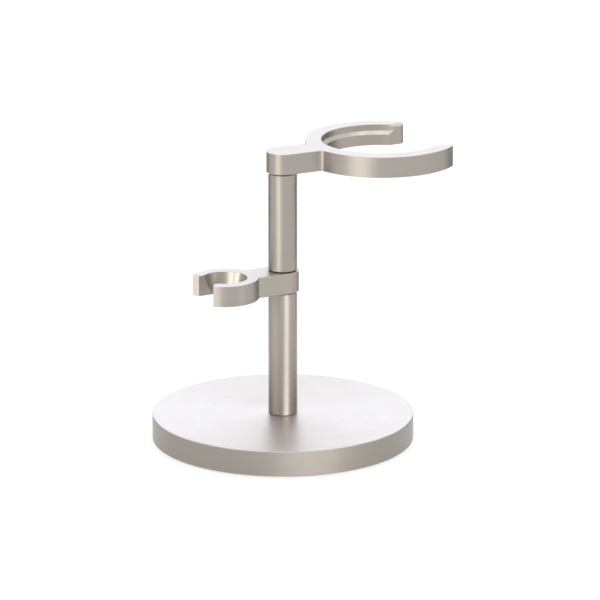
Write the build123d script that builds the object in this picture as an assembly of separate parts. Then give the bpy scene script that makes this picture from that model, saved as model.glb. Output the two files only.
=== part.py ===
from build123d import *
from math import sqrt
import os

# Razor stand: a round weighted base, a post in two screwed sections, and two swivelling C-arms.
# +Z is up. The origin is the centre of the underside, on the post's axis.
# +X is the way the shaving brush arm points at rest; the razor arm points along -X.
# All sizes are in millimetres.

# Base disc, its recessed anti-slip pad and the screw that holds the post
BASE_RADIUS = 45.0
BASE_THICKNESS = 8.8
BASE_RIM_CHAMFER = 0.2
BASE_FOOT_CHAMFER = 0.3
PAD_PROUD = 0.4
PAD_THICKNESS = 1.4
PAD_RADIUS = 40.5
PAD_RECESS_RADIUS = 41.0
SCREW_CLEARANCE_RADIUS = 2.75
COUNTERBORE_RADIUS = 5.0
COUNTERBORE_DEPTH = 4.9

# Post, in two sections of round bar
POST_RADIUS = 5.0
LOWER_POST_LENGTH = 43.4
UPPER_POST_LENGTH = 34.1
POST_END_CHAMFER = 0.25

# Threads are plain cylinders at the nominal diameter, with a hair of clearance in the hole
M5_RADIUS = 2.5
M3_RADIUS = 1.5
THREAD_CLEARANCE = 0.03
THREAD_CHAMFER = 0.5
TAPPED_HOLE_DEPTH = 10.0
BASE_TAPPED_HOLE_DEPTH = 12.0
DRILL_POINT_RATIO = 0.6

# Base screw (M5 x 12, low socket head) and its split spring washer
BASE_SCREW_LENGTH = 12.0
BASE_SCREW_HEAD_RADIUS = 4.25
BASE_SCREW_HEAD_HEIGHT = 3.5
BASE_SCREW_SOCKET_FLATS = 3.0
BASE_SCREW_SOCKET_DEPTH = 2.0
SPRING_WASHER_INNER_RADIUS = 2.6
SPRING_WASHER_OUTER_RADIUS = 4.6
SPRING_WASHER_THICKNESS = 1.2
SPRING_WASHER_SPLIT = 0.7
SPRING_WASHER_SPLIT_TILT = 35
SPRING_WASHER_SPLIT_HEIGHT = 5.0

# Swivel journals, and the thin friction washer in each swivel seam
JOURNAL_RADIUS = 3.0
RUNNING_CLEARANCE = 0.05
STUD_THREAD_LENGTH = 8.0
WASHER_THICKNESS = 0.3
WASHER_OUTER_RADIUS = 4.6
WASHER_INNER_RADIUS = 3.15

# Pivot pin pressed into the brush arm, kept in the upper post by a set screw in its groove
PIN_DEPTH_IN_POST = 11.5
PIN_BORE_DEPTH = 12.0
PIN_DEPTH_IN_ARM = 5.0
PIN_HOLE_DEPTH_IN_ARM = 5.2
PIN_PRESS_INTERFERENCE = 0.01
GROOVE_RADIUS = 1.85
GROOVE_HALF_WIDTH = 1.8
GROOVE_BELOW_POST_TOP = 6.0
SET_SCREW_LENGTH = 3.0
SET_SCREW_TIP_RADIUS = 0.75
SET_SCREW_TIP_CLEARANCE = 0.1
SET_SCREW_SOCKET_FLATS = 1.5
SET_SCREW_SOCKET_DEPTH = 1.2

# Both arms: a flat bar with a round end about the post's axis
ARM_THICKNESS = 7.2
ARM_HALF_WIDTH = 5.6
ARM_EDGE_CHAMFER = 0.12

# Shaving brush ring: an open C with a stepped seat
BRUSH_RING_REACH = 37.8
BRUSH_RING_RADIUS = 26.2
BRUSH_SLOT_HALF_WIDTH = 15.8
BRUSH_TIP_ROUND = 2.3
BRUSH_NECK_FILLET = 1.8
BRUSH_SEAT_RADIUS = 20.6
BRUSH_BORE_RADIUS = 19.4
BRUSH_SEAT_DEPTH = 2.2
BRUSH_SLOT_EDGE_ROUND = 1.7

# Razor ring: an open C with a conical seat and a flared slot mouth
RAZOR_RING_REACH = 22.0
RAZOR_RING_RADIUS = 11.55
RAZOR_SLOT_HALF_WIDTH = 5.8
RAZOR_FLARE_START = 7.0
RAZOR_TIP_REACH = 8.25
RAZOR_NECK_FILLET = 0.5
RAZOR_SEAT_TOP_RADIUS = 7.7
RAZOR_SEAT_BOTTOM_RADIUS = 6.05

# Heights, worked up from the surface the stand rests on
BASE_BOTTOM_Z = PAD_PROUD
BASE_TOP_Z = BASE_BOTTOM_Z + BASE_THICKNESS
LOWER_POST_TOP_Z = BASE_TOP_Z + LOWER_POST_LENGTH
RAZOR_ARM_Z = LOWER_POST_TOP_Z + WASHER_THICKNESS
UPPER_POST_Z = RAZOR_ARM_Z + ARM_THICKNESS + WASHER_THICKNESS
UPPER_POST_TOP_Z = UPPER_POST_Z + UPPER_POST_LENGTH
BRUSH_ARM_Z = UPPER_POST_TOP_Z + WASHER_THICKNESS
BRUSH_ARM_TOP_Z = BRUSH_ARM_Z + ARM_THICKNESS
GROOVE_Z = UPPER_POST_TOP_Z - GROOVE_BELOW_POST_TOP

# How far cutting bodies run past the faces that they cut
OVERCUT = 1.0


def rod(radius, low, high):
    """A solid round bar on the Z axis between two heights."""
    return Pos(0, 0, low) * extrude(Circle(radius), high - low)


def ring(outer, inner, low, high):
    """A plain round washer on the Z axis between two heights."""
    return Pos(0, 0, low) * extrude(Circle(outer) - Circle(inner), high - low)


def turned(profile):
    """A solid turned about the Z axis from (radius, height) points."""
    face = Plane.XZ * make_face(Polyline(*profile, close=True))
    return revolve(face, Axis.Z)


def blind_hole(radius, mouth, depth):
    """A drilled blind hole from a mouth height; negative depth drills downwards."""
    floor = mouth + depth
    point = floor + DRILL_POINT_RATIO * radius * (1 if depth > 0 else -1)
    return turned([(0, mouth), (radius, mouth), (radius, floor), (0, point)])


def horizontal_edges(solid, height):
    """The edges of a solid that lie in one horizontal plane."""
    return solid.edges().filter_by_position(Axis.Z, height, height)


def make_base_disc():
    disc = rod(BASE_RADIUS, BASE_BOTTOM_Z, BASE_TOP_Z)
    disc = chamfer(horizontal_edges(disc, BASE_TOP_Z), BASE_RIM_CHAMFER)
    disc = chamfer(horizontal_edges(disc, BASE_BOTTOM_Z), BASE_FOOT_CHAMFER)
    disc -= rod(PAD_RECESS_RADIUS, BASE_BOTTOM_Z - OVERCUT, PAD_THICKNESS)
    disc -= rod(COUNTERBORE_RADIUS, PAD_THICKNESS - OVERCUT, PAD_THICKNESS + COUNTERBORE_DEPTH)
    return disc - rod(SCREW_CLEARANCE_RADIUS, PAD_THICKNESS, BASE_TOP_Z + OVERCUT)


def make_anti_slip_pad():
    return rod(PAD_RADIUS, 0, PAD_THICKNESS)


def make_base_spring_washer():
    high = PAD_THICKNESS + COUNTERBORE_DEPTH
    low = high - SPRING_WASHER_THICKNESS
    washer = ring(SPRING_WASHER_OUTER_RADIUS, SPRING_WASHER_INNER_RADIUS, low, high)
    split = Box(2 * SPRING_WASHER_OUTER_RADIUS, SPRING_WASHER_SPLIT, SPRING_WASHER_SPLIT_HEIGHT)
    return washer - Pos(SPRING_WASHER_OUTER_RADIUS, 0, low) * Rot(SPRING_WASHER_SPLIT_TILT, 0, 0) * split


def make_base_screw():
    seat = PAD_THICKNESS + COUNTERBORE_DEPTH - SPRING_WASHER_THICKNESS
    head = rod(BASE_SCREW_HEAD_RADIUS, seat - BASE_SCREW_HEAD_HEIGHT, seat)
    head = chamfer(horizontal_edges(head, seat - BASE_SCREW_HEAD_HEIGHT), POST_END_CHAMFER)
    socket = extrude(RegularPolygon(BASE_SCREW_SOCKET_FLATS / 2, 6, major_radius=False),
                     BASE_SCREW_SOCKET_DEPTH)
    shank = rod(M5_RADIUS, seat, seat + BASE_SCREW_LENGTH)
    shank = chamfer(horizontal_edges(shank, seat + BASE_SCREW_LENGTH), THREAD_CHAMFER)
    return head - Pos(0, 0, seat - BASE_SCREW_HEAD_HEIGHT) * socket + shank


def post_section(low, high):
    """A post section's bar, with a small chamfer at both ends."""
    bar = rod(POST_RADIUS, low, high)
    ends = horizontal_edges(bar, low) + horizontal_edges(bar, high)
    return chamfer(ends, POST_END_CHAMFER)


def make_lower_post():
    bar = post_section(BASE_TOP_Z, LOWER_POST_TOP_Z)
    bar -= blind_hole(M5_RADIUS + THREAD_CLEARANCE, BASE_TOP_Z, BASE_TAPPED_HOLE_DEPTH)
    return bar - blind_hole(M5_RADIUS + THREAD_CLEARANCE, LOWER_POST_TOP_Z, -TAPPED_HOLE_DEPTH)


def make_upper_post():
    bar = post_section(UPPER_POST_Z, UPPER_POST_TOP_Z)
    bar -= blind_hole(M5_RADIUS + THREAD_CLEARANCE, UPPER_POST_Z, TAPPED_HOLE_DEPTH)
    bar -= blind_hole(JOURNAL_RADIUS + RUNNING_CLEARANCE, UPPER_POST_TOP_Z, -PIN_BORE_DEPTH)
    tapped = extrude(Circle(M3_RADIUS + THREAD_CLEARANCE), POST_RADIUS + OVERCUT)
    return bar - Pos(0, 0, GROOVE_Z) * Rot(-90, 0, 0) * tapped


def make_middle_stud():
    """The double-ended stud that joins the posts and carries the razor arm on its journal."""
    low, high = LOWER_POST_TOP_Z, UPPER_POST_Z
    stud = rod(M5_RADIUS, low - STUD_THREAD_LENGTH, high + STUD_THREAD_LENGTH)
    tips = horizontal_edges(stud, low - STUD_THREAD_LENGTH)
    tips += horizontal_edges(stud, high + STUD_THREAD_LENGTH)
    return chamfer(tips, THREAD_CHAMFER) + rod(JOURNAL_RADIUS, low, high)


def make_friction_washer(low):
    return ring(WASHER_OUTER_RADIUS, WASHER_INNER_RADIUS, low, low + WASHER_THICKNESS)


def make_arm_pin():
    """The brush arm's pivot pin, with the groove that the set screw's point runs in."""
    low = UPPER_POST_TOP_Z - PIN_DEPTH_IN_POST
    high = BRUSH_ARM_Z + PIN_DEPTH_IN_ARM
    pin = rod(JOURNAL_RADIUS, low, high)
    pin = chamfer(horizontal_edges(pin, low) + horizontal_edges(pin, high), THREAD_CHAMFER)
    groove = ring(JOURNAL_RADIUS + OVERCUT, GROOVE_RADIUS,
                  GROOVE_Z - GROOVE_HALF_WIDTH, GROOVE_Z + GROOVE_HALF_WIDTH)
    return pin - groove


def make_post_set_screw():
    """An M3 set screw across the back of the upper post, along +Y."""
    tip = GROOVE_RADIUS + SET_SCREW_TIP_CLEARANCE
    point = M3_RADIUS - SET_SCREW_TIP_RADIUS
    body = turned([(0, tip), (SET_SCREW_TIP_RADIUS, tip), (M3_RADIUS, tip + point),
                   (M3_RADIUS, tip + SET_SCREW_LENGTH), (0, tip + SET_SCREW_LENGTH)])
    socket = extrude(RegularPolygon(SET_SCREW_SOCKET_FLATS / 2, 6, major_radius=False),
                     SET_SCREW_SOCKET_DEPTH)
    body -= Pos(0, 0, tip + SET_SCREW_LENGTH - SET_SCREW_SOCKET_DEPTH) * socket
    return Pos(0, 0, GROOVE_Z) * Rot(-90, 0, 0) * body


def c_arm_outline(reach, ring_radius, neck_fillet):
    """The plan of an arm along +X: round end, straight bar and full ring, with filleted necks."""
    bar_length = reach - sqrt(ring_radius ** 2 - ARM_HALF_WIDTH ** 2)
    bar = Pos(reach / 2, 0) * Rectangle(reach, 2 * ARM_HALF_WIDTH)
    plan = Circle(ARM_HALF_WIDTH) + bar + Pos(reach, 0) * Circle(ring_radius)
    necks = [corner for corner in plan.vertices()
             if abs(corner.X - bar_length) < OVERCUT and abs(corner.Y) > ARM_HALF_WIDTH / 2]
    return fillet(necks, neck_fillet)


def bevelled_plate(plan, low):
    """An arm plate with its top and bottom outer edges lightly bevelled."""
    plate = Pos(0, 0, low) * extrude(plan, ARM_THICKNESS)
    edges = horizontal_edges(plate, low) + horizontal_edges(plate, low + ARM_THICKNESS)
    return chamfer(edges, ARM_EDGE_CHAMFER)


def slot_edge_cutter(side):
    """The corner removed to round over one top edge of the brush ring's slot."""
    size = BRUSH_SLOT_EDGE_ROUND
    inset = size * (1 - sqrt(0.5))
    bend = ThreePointArc((0, -size), (inset, -inset), (size, 0))
    outside = Polyline((size, 0), (size, OVERCUT), (-OVERCUT, OVERCUT), (-OVERCUT, -size), (0, -size))
    cutter = extrude(Plane.YZ * make_face(bend + outside), BRUSH_RING_RADIUS + OVERCUT)
    if side < 0:
        cutter = mirror(cutter, Plane.XZ)
    return Pos(BRUSH_RING_REACH, side * BRUSH_SLOT_HALF_WIDTH, BRUSH_ARM_TOP_Z) * cutter


def make_brush_arm():
    plan = c_arm_outline(BRUSH_RING_REACH, BRUSH_RING_RADIUS, BRUSH_NECK_FILLET)
    plan -= Pos(BRUSH_RING_REACH, 0) * Circle(BRUSH_BORE_RADIUS)
    slot_length = BRUSH_RING_RADIUS + OVERCUT
    plan -= Pos(BRUSH_RING_REACH + slot_length / 2, 0) * Rectangle(slot_length, 2 * BRUSH_SLOT_HALF_WIDTH)
    tips = [corner for corner in plan.vertices() if corner.X > BRUSH_RING_REACH + BRUSH_SLOT_HALF_WIDTH]
    plate = bevelled_plate(fillet(tips, BRUSH_TIP_ROUND), BRUSH_ARM_Z)
    step = BRUSH_SEAT_RADIUS - BRUSH_BORE_RADIUS
    ledge_top = BRUSH_ARM_TOP_Z - BRUSH_SEAT_DEPTH
    seat = turned([(0, ledge_top - step), (BRUSH_BORE_RADIUS, ledge_top - step),
                   (BRUSH_SEAT_RADIUS, ledge_top),
                   (BRUSH_SEAT_RADIUS, BRUSH_ARM_TOP_Z - ARM_EDGE_CHAMFER),
                   (BRUSH_SEAT_RADIUS + ARM_EDGE_CHAMFER, BRUSH_ARM_TOP_Z),
                   (BRUSH_SEAT_RADIUS + ARM_EDGE_CHAMFER, BRUSH_ARM_TOP_Z + OVERCUT),
                   (0, BRUSH_ARM_TOP_Z + OVERCUT)])
    plate -= Pos(BRUSH_RING_REACH, 0) * seat
    for side in (-1, 1):
        plate -= slot_edge_cutter(side)
    pin_hole = JOURNAL_RADIUS - PIN_PRESS_INTERFERENCE
    return plate - rod(pin_hole, BRUSH_ARM_Z - OVERCUT, BRUSH_ARM_Z + PIN_HOLE_DEPTH_IN_ARM)


def razor_slot():
    """The razor ring's slot along +X from the ring's centre, flared at its mouth."""
    tip_half_width = sqrt(RAZOR_RING_RADIUS ** 2 - RAZOR_TIP_REACH ** 2)
    flare_slope = (tip_half_width - RAZOR_SLOT_HALF_WIDTH) / (RAZOR_TIP_REACH - RAZOR_FLARE_START)
    mouth = RAZOR_RING_RADIUS + OVERCUT
    mouth_half_width = RAZOR_SLOT_HALF_WIDTH + flare_slope * (mouth - RAZOR_FLARE_START)
    upper = [(0, RAZOR_SLOT_HALF_WIDTH), (RAZOR_FLARE_START, RAZOR_SLOT_HALF_WIDTH),
             (mouth, mouth_half_width)]
    lower = [(x, -y) for x, y in reversed(upper)]
    return make_face(Polyline(*upper, *lower, close=True))


def make_razor_arm():
    plan = c_arm_outline(RAZOR_RING_REACH, RAZOR_RING_RADIUS, RAZOR_NECK_FILLET)
    plan -= Pos(RAZOR_RING_REACH, 0) * (Circle(RAZOR_SEAT_BOTTOM_RADIUS) + razor_slot())
    plate = bevelled_plate(plan, RAZOR_ARM_Z)
    top = RAZOR_ARM_Z + ARM_THICKNESS
    slope = (RAZOR_SEAT_TOP_RADIUS - RAZOR_SEAT_BOTTOM_RADIUS) / ARM_THICKNESS
    seat = turned([(0, RAZOR_ARM_Z - OVERCUT),
                   (RAZOR_SEAT_BOTTOM_RADIUS - OVERCUT * slope, RAZOR_ARM_Z - OVERCUT),
                   (RAZOR_SEAT_TOP_RADIUS - ARM_EDGE_CHAMFER * slope, top - ARM_EDGE_CHAMFER),
                   (RAZOR_SEAT_TOP_RADIUS + ARM_EDGE_CHAMFER, top),
                   (RAZOR_SEAT_TOP_RADIUS + ARM_EDGE_CHAMFER, top + OVERCUT),
                   (0, top + OVERCUT)])
    plate -= Pos(RAZOR_RING_REACH, 0) * seat
    plate -= rod(JOURNAL_RADIUS + RUNNING_CLEARANCE, RAZOR_ARM_Z - OVERCUT, top + OVERCUT)
    return Rot(0, 0, 180) * plate


parts = {
    "base_disc": make_base_disc(),
    "anti_slip_pad": make_anti_slip_pad(),
    "base_spring_washer": make_base_spring_washer(),
    "base_screw": make_base_screw(),
    "lower_post": make_lower_post(),
    "lower_friction_washer": make_friction_washer(LOWER_POST_TOP_Z),
    "middle_stud": make_middle_stud(),
    "razor_arm": make_razor_arm(),
    "middle_friction_washer": make_friction_washer(RAZOR_ARM_Z + ARM_THICKNESS),
    "upper_post": make_upper_post(),
    "post_set_screw": make_post_set_screw(),
    "top_friction_washer": make_friction_washer(UPPER_POST_TOP_Z),
    "arm_pin": make_arm_pin(),
    "brush_arm": make_brush_arm(),
}

os.makedirs("parts", exist_ok=True)
for name, shape in parts.items():
    export_step(shape, f"parts/{name}.step")
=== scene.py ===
from math import cos, pi, radians, sin

import bpy
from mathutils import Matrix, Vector


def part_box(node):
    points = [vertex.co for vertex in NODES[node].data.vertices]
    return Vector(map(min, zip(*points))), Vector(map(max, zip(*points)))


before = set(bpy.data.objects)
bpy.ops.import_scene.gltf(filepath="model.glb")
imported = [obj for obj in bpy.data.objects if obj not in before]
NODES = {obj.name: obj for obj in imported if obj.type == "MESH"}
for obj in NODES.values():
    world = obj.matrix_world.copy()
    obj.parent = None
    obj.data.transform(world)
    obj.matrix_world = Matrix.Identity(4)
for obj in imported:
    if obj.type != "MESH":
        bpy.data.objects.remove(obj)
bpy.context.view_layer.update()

# The camera: a long lens, left of the stand's front and a little above it
CAMERA_AZIMUTH = radians(-26.6)
CAMERA_ELEVATION = radians(17.7)
CAMERA_DISTANCE = 1.607
CAMERA_LENS = 279.0
AIM_HEIGHT = 0.0489
AIM_RIGHT = 0.0059

LIGHT_AIM_HEIGHT = 0.05

# The two dark cards that stand out of the picture, beside the stand
CARD_DISTANCE = 0.2
CARD_WIDTH = 0.11
CARD_HEIGHT = 0.07
CARD_GREY = (0.12, 0.12, 0.12, 1.0)

FLOOR_HALF = 6.0
FLOOR_GREY = (0.25, 0.25, 0.25, 1.0)
FLOOR_GLOW = 0.70

# The dark screens behind the stand: where each fades in and out, in degrees from the camera,
# how high up the walls it fades out, and how much of the wall's light it takes away
SCREEN_IN = (80, 100)
SCREEN_OUT = (145, 160)
SCREEN_TOP = (0.1, 0.3)
SCREEN_STRENGTH = 0.95

# How upright a surface's normal is where a wall turns into a flat face, and on flat faces alone
WALL_TO_FACE = (0.3, 0.7)
FACE_ONLY = (0.9, 0.99)

# How fine each pattern in the satin metal is
FINE_GRAIN = 5200.0
COARSE_GRAIN = 900.0
HAIRLINE_GRAIN = 2300.0
HANDLING_MARKS = 110.0
# The patches of edge wear, which also pattern the painted highlight on the bevels
EDGE_WEAR_AND_HIGHLIGHT = 260.0

# How fast the grain changes along straight brushing, where 1 is its speed across it
GRAIN_STRETCH = 0.06
# How far through the grain's pattern one radian round a turned face goes, in metres
GRAIN_DRIFT = 0.0003

# Each ring: where its centre lies from the swivel, and a radius just past its bored faces
BRUSH_RING = (0.0378, 0.0208)
RAZOR_RING = (-0.022, 0.0079)

BASE_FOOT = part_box("base_disc")[0].z


def camera_axes():
    """The camera's back and right directions in the stand's frame."""
    flat = cos(CAMERA_ELEVATION)
    back = Vector((sin(CAMERA_AZIMUTH) * flat, -cos(CAMERA_AZIMUTH) * flat, sin(CAMERA_ELEVATION)))
    right = Vector((cos(CAMERA_AZIMUTH), sin(CAMERA_AZIMUTH), 0))
    return back, right


def make_camera():
    back, right = camera_axes()
    foot = Vector((0, 0, BASE_FOOT))
    data = bpy.data.cameras.new("camera")
    data.lens = CAMERA_LENS
    data.clip_start = 0.05
    data.clip_end = 50.0
    camera = bpy.data.objects.new("camera", data)
    bpy.context.scene.collection.objects.link(camera)
    camera.location = foot + back * CAMERA_DISTANCE
    aim = foot + Vector((0, 0, AIM_HEIGHT)) + right * AIM_RIGHT
    camera.rotation_mode = "QUATERNION"
    camera.rotation_quaternion = (aim - camera.location).to_track_quat("-Z", "Y")
    bpy.context.scene.camera = camera


class Graph:
    """A short way to write a material's or the world's nodes."""

    def __init__(self, tree):
        self.tree = tree

    def node(self, kind, inputs=(), **settings):
        made = self.tree.nodes.new(kind)
        for name, value in settings.items():
            setattr(made, name, value)
        for name, value in dict(inputs).items():
            self.put(made.inputs[name], value)
        return made

    def put(self, socket, value):
        if isinstance(value, bpy.types.NodeSocket):
            self.tree.links.new(value, socket)
        else:
            socket.default_value = value

    def math(self, operation, *values):
        return self.node("ShaderNodeMath", enumerate(values), operation=operation).outputs[0]

    def smooth(self, value, low, high, to_low=0.0, to_high=1.0):
        made = self.node("ShaderNodeMapRange", interpolation_type="SMOOTHSTEP")
        for socket, part in zip(made.inputs, (value, low, high, to_low, to_high)):
            self.put(socket, part)
        return made.outputs[0]

    def mix(self, share, first, second):
        """Vectors: first where share is 0, second where it is 1."""
        gap = self.node("ShaderNodeVectorMath", {0: second, 1: first}, operation="SUBTRACT").outputs[0]
        part = self.node("ShaderNodeVectorMath", {0: gap, "Scale": share}, operation="SCALE").outputs[0]
        return self.node("ShaderNodeVectorMath", {0: first, 1: part}, operation="ADD").outputs[0]

    def shaded(self, colour, tone):
        """The colour, made lighter or darker by tone."""
        return self.node("ShaderNodeVectorMath", {0: colour, 1: self.join(tone, tone, tone)},
                         operation="MULTIPLY").outputs[0]

    def length(self, x, y):
        return self.math("SQRT", self.math("ADD", self.math("MULTIPLY", x, x),
                                           self.math("MULTIPLY", y, y)))

    def total(self, first, *others):
        for other in others:
            first = self.math("ADD", first, other)
        return first

    def swing(self, value, amount):
        """A pattern of 0 to 1 as a swing about nothing, amount wide."""
        return self.math("MULTIPLY", self.math("SUBTRACT", value, 0.5), amount)

    def noise(self, vector, scale, detail=3.0, roughness=0.55):
        made = self.node("ShaderNodeTexNoise", {"Vector": vector, "Scale": scale, "Detail": detail,
                                                "Roughness": roughness})
        return made.outputs["Fac"]

    def join(self, x, y, z):
        return self.node("ShaderNodeCombineXYZ", {"X": x, "Y": y, "Z": z}).outputs[0]


def new_material(name):
    material = bpy.data.materials.new(name)
    material.use_nodes = True
    material.node_tree.nodes.clear()
    return material, Graph(material.node_tree)


def finish_material(graph, shader):
    graph.node("ShaderNodeOutputMaterial", {"Surface": shader.outputs[0]})


def turned_grain(g, place):
    """Grain that runs round the stand's axis: rings on a flat face, level lines on a wall."""
    across = g.node("ShaderNodeSeparateXYZ", {"Vector": place}).outputs
    radius = g.length(across["X"], across["Y"])
    turn = g.math("ARCTAN2", across["Y"], across["X"])
    return g.join(radius, across["Z"], g.math("MULTIPLY", turn, GRAIN_DRIFT))


def milled_grain(g, place, flatness, ring):
    """Grain along the arm on its flat faces, level round its walls, and turned inside its ring.

    ring is where the ring's centre lies from the swivel, and a radius just past its bored faces."""
    across = g.node("ShaderNodeSeparateXYZ", {"Vector": place}).outputs
    spread = g.smooth(flatness, *WALL_TO_FACE, GRAIN_STRETCH, 1.0)
    straight = g.join(g.math("MULTIPLY", across["X"], GRAIN_STRETCH),
                      g.math("MULTIPLY", across["Y"], spread), across["Z"])
    centre, bored_radius = ring
    from_ring = g.node("ShaderNodeVectorMath", {0: place, 1: (centre, 0, 0)},
                       operation="SUBTRACT").outputs[0]
    beside = g.node("ShaderNodeSeparateXYZ", {"Vector": from_ring}).outputs
    bored = g.math("LESS_THAN", g.length(beside["X"], beside["Y"]), bored_radius)
    return g.mix(bored, straight, turned_grain(g, from_ring))


def across_grain(g, place, flatness, ring):
    """The direction across the grain: upright on walls, and on flat faces outward or across the arm."""
    if ring:
        outward = (0.0, 1.0, 0.0)
    else:
        level = g.node("ShaderNodeVectorMath", {0: place, 1: (1, 1, 0)}, operation="MULTIPLY")
        outward = g.node("ShaderNodeVectorMath", {0: level.outputs[0]}, operation="NORMALIZE").outputs[0]
    across = g.mix(g.smooth(flatness, *WALL_TO_FACE), (0.0, 0.0, 1.0), outward)
    turned = g.node("ShaderNodeVectorTransform", {"Vector": across}, vector_type="VECTOR",
                    convert_from="OBJECT", convert_to="WORLD")
    return turned.outputs[0]


def satin_metal(name, colour, wall_roughness, face_roughness, anisotropy, ring=None,
                painted_face_light=(1.0, 1.0, 1.0)):
    """Satin nickel: fine grain, faint hairlines, cloudy handling marks, and edges rubbed smoother, with
    a painted highlight that makes them brighter.

    The walls shine in upright streaks across their level grain. A part with a ring is an arm.
    The last argument is how much paler and cooler the flat faces are painted than the walls, in red,
    green and blue: painted light, for the light that falls on them from above."""
    material, g = new_material(name)
    place = g.node("ShaderNodeTexCoord").outputs["Object"]
    normal = g.node("ShaderNodeNewGeometry").outputs["Normal"]
    flatness = g.math("ABSOLUTE", g.node("ShaderNodeSeparateXYZ", {"Vector": normal}).outputs["Z"])
    along = milled_grain(g, place, flatness, ring) if ring else turned_grain(g, place)
    bevel = g.math("MULTIPLY", g.smooth(flatness, 0.35, 0.6), g.smooth(flatness, 0.8, 0.97, 1.0, 0.0))
    unrubbed = g.math("SUBTRACT", 1.0, bevel)

    fine = g.noise(along, FINE_GRAIN, 2.0)
    coarse = g.noise(along, COARSE_GRAIN, 3.0)
    scratches = g.smooth(g.noise(along, HAIRLINE_GRAIN, 1.0), 0.66, 0.74)
    hairlines = g.math("MULTIPLY", scratches, unrubbed)
    marks = g.noise(place, HANDLING_MARKS, 3.0)
    wear_and_highlight_patches = g.smooth(g.noise(place, EDGE_WEAR_AND_HIGHLIGHT, 2.0), 0.3, 0.7, 0.4, 1.0)
    # The bevels are rubbed smoother, which is real wear, and their colour is painted up to a fifth
    # brighter, which is a painted highlight
    rubbed_and_highlit = g.math("MULTIPLY", bevel, wear_and_highlight_patches)

    # The tone is grain, marks and hairlines, plus a painted highlight on the bevels
    tone = g.total(1.0, g.swing(fine, 0.05), g.swing(coarse, 0.07), g.swing(marks, 0.06),
                   g.math("MULTIPLY", hairlines, -0.03), g.math("MULTIPLY", rubbed_and_highlit, 0.2))
    # The flat faces are painted paler and cooler than the walls: painted light, for the light that falls
    # on them from above
    painted_face_lightening = g.mix(g.smooth(flatness, *FACE_ONLY), (1.0, 1.0, 1.0), painted_face_light)
    tint = g.node("ShaderNodeVectorMath", {0: g.shaded(colour, tone), 1: painted_face_lightening},
                  operation="MULTIPLY").outputs[0]
    rough = g.total(g.smooth(flatness, *FACE_ONLY, wall_roughness, face_roughness),
                    g.swing(coarse, 0.08), g.swing(marks, 0.12),
                    g.math("MULTIPLY", hairlines, 0.06), g.math("MULTIPLY", rubbed_and_highlit, -0.10))
    bump = g.node("ShaderNodeBump", {"Strength": 0.12, "Distance": 0.00004, "Height": fine})
    shader = g.node("ShaderNodeBsdfPrincipled",
                    {"Base Color": tint, "Metallic": 1.0, "Roughness": rough, "Anisotropic": anisotropy,
                     "Tangent": across_grain(g, place, flatness, ring), "Normal": bump.outputs[0]})
    finish_material(g, shader)
    return material


def plain_steel(name, colour, roughness):
    """Plated steel as machined: a soft shine, slightly mottled."""
    material, g = new_material(name)
    place = g.node("ShaderNodeTexCoord").outputs["Object"]
    cloud = g.noise(place, 900.0)
    tone = g.math("ADD", 0.9, g.math("MULTIPLY", cloud, 0.2))
    rough = g.math("ADD", roughness - 0.06, g.math("MULTIPLY", cloud, 0.12))
    bump = g.node("ShaderNodeBump", {"Strength": 0.1, "Distance": 0.00005, "Height": cloud})
    shader = g.node("ShaderNodeBsdfPrincipled",
                    {"Base Color": g.shaded(colour, tone), "Metallic": 1.0, "Roughness": rough,
                     "Normal": bump.outputs[0]})
    finish_material(g, shader)
    return material


def soft_polymer(name, colour, roughness, grain_scale):
    """Rubber or nylon: matt, with a fine moulded grain."""
    material, g = new_material(name)
    place = g.node("ShaderNodeTexCoord").outputs["Object"]
    cloud = g.noise(place, grain_scale)
    tone = g.math("ADD", 0.8, g.math("MULTIPLY", cloud, 0.4))
    rough = g.math("ADD", roughness - 0.1, g.math("MULTIPLY", cloud, 0.2))
    bump = g.node("ShaderNodeBump", {"Strength": 0.35, "Distance": 0.0001, "Height": cloud})
    shader = g.node("ShaderNodeBsdfPrincipled",
                    {"Base Color": g.shaded(colour, tone), "Roughness": rough,
                     "Specular IOR Level": 0.35, "Normal": bump.outputs[0]})
    finish_material(g, shader)
    return material


def dress(material, *names):
    """Give the named parts this material in every slot."""
    for name in names:
        for slot in NODES[name].material_slots:
            slot.material = material


def dress_parts():
    nickel = (0.39, 0.357, 0.322)
    # The base is the same nickel as the posts and arms, painted darker here: painted shade on its walls.
    # Its flat faces are then painted paler and cooler again: painted light from above
    painted_shade_nickel = (0.33, 0.30, 0.27)
    # The arms' flat faces are painted paler and cooler than their walls: painted light from above
    arm_painted_face_light = (1.06, 1.085, 1.115)
    dress(satin_metal("satin_base", painted_shade_nickel, 0.40, 0.44, 0.3, painted_face_light=(1.19, 1.215, 1.25)),
          "base_disc")
    dress(satin_metal("satin_post", nickel, 0.40, 0.40, 0.7), "lower_post", "upper_post")
    dress(satin_metal("satin_brush_arm", nickel, 0.41, 0.42, 0.65, BRUSH_RING, arm_painted_face_light),
          "brush_arm")
    dress(satin_metal("satin_razor_arm", nickel, 0.41, 0.42, 0.65, RAZOR_RING, arm_painted_face_light),
          "razor_arm")
    dress(plain_steel("fastener_steel", (0.42, 0.42, 0.43), 0.35),
          "base_screw", "base_spring_washer", "middle_stud", "post_set_screw", "arm_pin")
    dress(soft_polymer("pad_rubber", (0.02, 0.02, 0.02), 0.75, 2500.0), "anti_slip_pad")
    dress(soft_polymer("washer_nylon", (0.03, 0.027, 0.024), 0.55, 4000.0),
          "lower_friction_washer", "middle_friction_washer", "top_friction_washer")


def add_sheet(name, corners, material):
    """A flat sheet of the studio, given by its four corners."""
    mesh = bpy.data.meshes.new(name)
    mesh.from_pydata(corners, [], [(0, 1, 2, 3)])
    mesh.materials.append(material)
    sheet = bpy.data.objects.new(name, mesh)
    bpy.context.scene.collection.objects.link(sheet)
    return sheet


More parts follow.
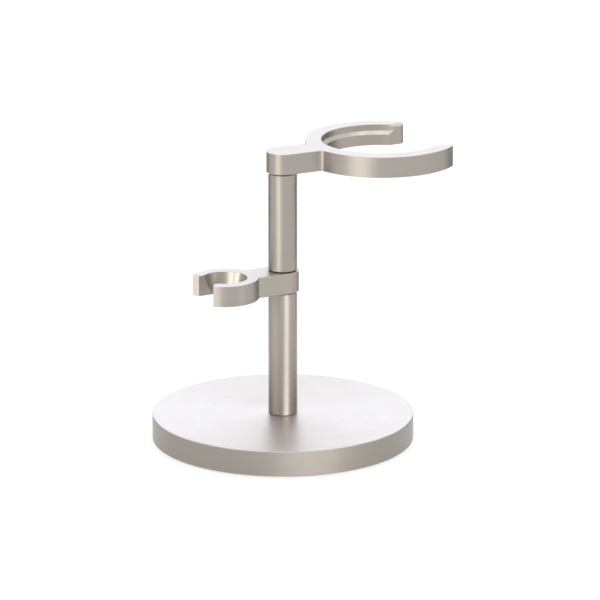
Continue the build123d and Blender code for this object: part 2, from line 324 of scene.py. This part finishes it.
def make_floor():
    """White paper that glows a little, so that it comes out as white as its surroundings."""
    material, g = new_material("floor_paper")
    shader = g.node("ShaderNodeBsdfPrincipled",
                    {"Base Color": FLOOR_GREY, "Roughness": 0.9, "Specular IOR Level": 0.1,
                     "Emission Color": (1.0, 1.0, 1.0, 1.0), "Emission Strength": FLOOR_GLOW})
    finish_material(g, shader)
    corners = [(-FLOOR_HALF, -FLOOR_HALF, 0), (FLOOR_HALF, -FLOOR_HALF, 0),
               (FLOOR_HALF, FLOOR_HALF, 0), (-FLOOR_HALF, FLOOR_HALF, 0)]
    add_sheet("floor", corners, material)


def dark_card(name, azimuth):
    """A dark card beside the stand, met only by reflections: it darkens the edges of round parts."""
    direction = CAMERA_AZIMUTH + radians(azimuth)
    outward = Vector((sin(direction), -cos(direction), 0))
    across = Vector((cos(direction), sin(direction), 0)) * CARD_WIDTH / 2
    foot = outward * CARD_DISTANCE
    rise = Vector((0, 0, CARD_HEIGHT))
    material, g = new_material(name)
    shader = g.node("ShaderNodeBsdfPrincipled", {"Base Color": CARD_GREY, "Roughness": 1.0})
    finish_material(g, shader)
    corners = [foot - across, foot + across, foot + across + rise, foot - across + rise]
    card = add_sheet(name, corners, material)
    card.visible_camera = False
    card.visible_diffuse = False
    card.visible_shadow = False


def softbox(name, azimuth, elevation, distance, size, power, colour, receivers=()):
    """An oblong area light that faces the stand, its azimuth counted to the right from the camera.

    With receivers, it lights only those parts, as a flagged light does."""
    direction = CAMERA_AZIMUTH + radians(azimuth)
    rise = radians(elevation)
    away = Vector((sin(direction) * cos(rise), -cos(direction) * cos(rise), sin(rise)))
    data = bpy.data.lights.new(name, "AREA")
    data.shape = "RECTANGLE"
    data.size, data.size_y = size
    data.energy = power
    data.color = colour
    light = bpy.data.objects.new(name, data)
    bpy.context.scene.collection.objects.link(light)
    light.location = Vector((0, 0, LIGHT_AIM_HEIGHT)) + away * distance
    light.rotation_mode = "QUATERNION"
    light.rotation_quaternion = (-away).to_track_quat("-Z", "Y")
    light.visible_camera = False
    if receivers:
        group = bpy.data.collections.new(name + "_parts")
        for part in receivers:
            group.objects.link(NODES[part])
        light.light_linking.receiver_collection = group


def make_studio():
    """A bright ceiling and softer walls, with a dark screen on each side behind the stand.

    The camera itself sees plain white."""
    world = bpy.data.worlds.new("studio")
    bpy.context.scene.world = world
    world.use_nodes = True
    world.node_tree.nodes.clear()
    g = Graph(world.node_tree)
    way = g.node("ShaderNodeTexCoord").outputs["Generated"]
    split = g.node("ShaderNodeSeparateXYZ", {"Vector": way}).outputs
    turned = g.math("ARCTAN2", split["X"], g.math("MULTIPLY", split["Y"], -1.0))
    apart = g.math("ABSOLUTE", g.math("WRAP", g.math("SUBTRACT", turned, CAMERA_AZIMUTH), pi, -pi))
    fade_in = g.smooth(apart, *map(radians, SCREEN_IN))
    fade_out = g.smooth(apart, *map(radians, SCREEN_OUT), 1.0, 0.0)
    screen = g.math("MULTIPLY", fade_in, fade_out)
    screen = g.math("MULTIPLY", screen, g.smooth(split["Z"], *SCREEN_TOP, 1.0, 0.0))
    ceiling = g.smooth(split["Z"], 0.75, 0.95, 0.0, 0.9)
    wall = g.math("ADD", g.smooth(split["Z"], 0.1, 0.8, 0.9, 1.3), ceiling)
    glow = g.math("MULTIPLY", wall, g.math("SUBTRACT", 1.0, g.math("MULTIPLY", screen, SCREEN_STRENGTH)))
    seen = g.node("ShaderNodeLightPath").outputs["Is Camera Ray"]
    glow = g.math("MAXIMUM", glow, seen)
    background = g.node("ShaderNodeBackground", {"Color": g.join(glow, glow, glow), "Strength": 1.0})
    g.node("ShaderNodeOutputWorld", {"Surface": background.outputs[0]})


def make_lights():
    """A broad light from behind for the top faces, boxes in front for the streaks on the walls,
    and two strips behind for the posts' edges."""
    warm = (1.0, 0.97, 0.93)
    cool = (0.90, 0.98, 1.15)
    upper = ("upper_post", "brush_arm", "razor_arm")
    posts = ("upper_post", "lower_post")
    softbox("back_wall", 180, 22, 2.2, (2.8, 1.7), 22.0, cool)
    softbox("left_box", -32, 14, 1.6, (0.9, 1.1), 12.0, warm, upper)
    softbox("right_box", 31, 14, 1.6, (0.9, 1.1), 18.0, warm, ("lower_post",))
    softbox("low_fill", -60, 14, 1.6, (1.3, 1.1), 4.0, warm, ("lower_post",))
    softbox("base_box", 24, 14, 1.6, (1.4, 1.1), 26.0, warm, ("base_disc",))
    softbox("tip_box", -69, 10, 1.4, (0.4, 0.7), 7.0, warm, ("razor_arm",))
    softbox("slot_box", 56, 10, 1.4, (0.4, 0.7), 1.0, warm, ("razor_arm",))
    softbox("back_left_strip", 208, 14, 1.6, (0.35, 1.1), 6.0, warm, posts)
    softbox("back_right_strip", 150, 14, 1.6, (0.35, 1.1), 6.0, warm, posts)


make_camera()
dress_parts()
make_floor()
dark_card("left_card", -128)
dark_card("right_card", 128)
make_studio()
make_lights()
bpy.context.scene.view_settings.view_transform = "Standard"
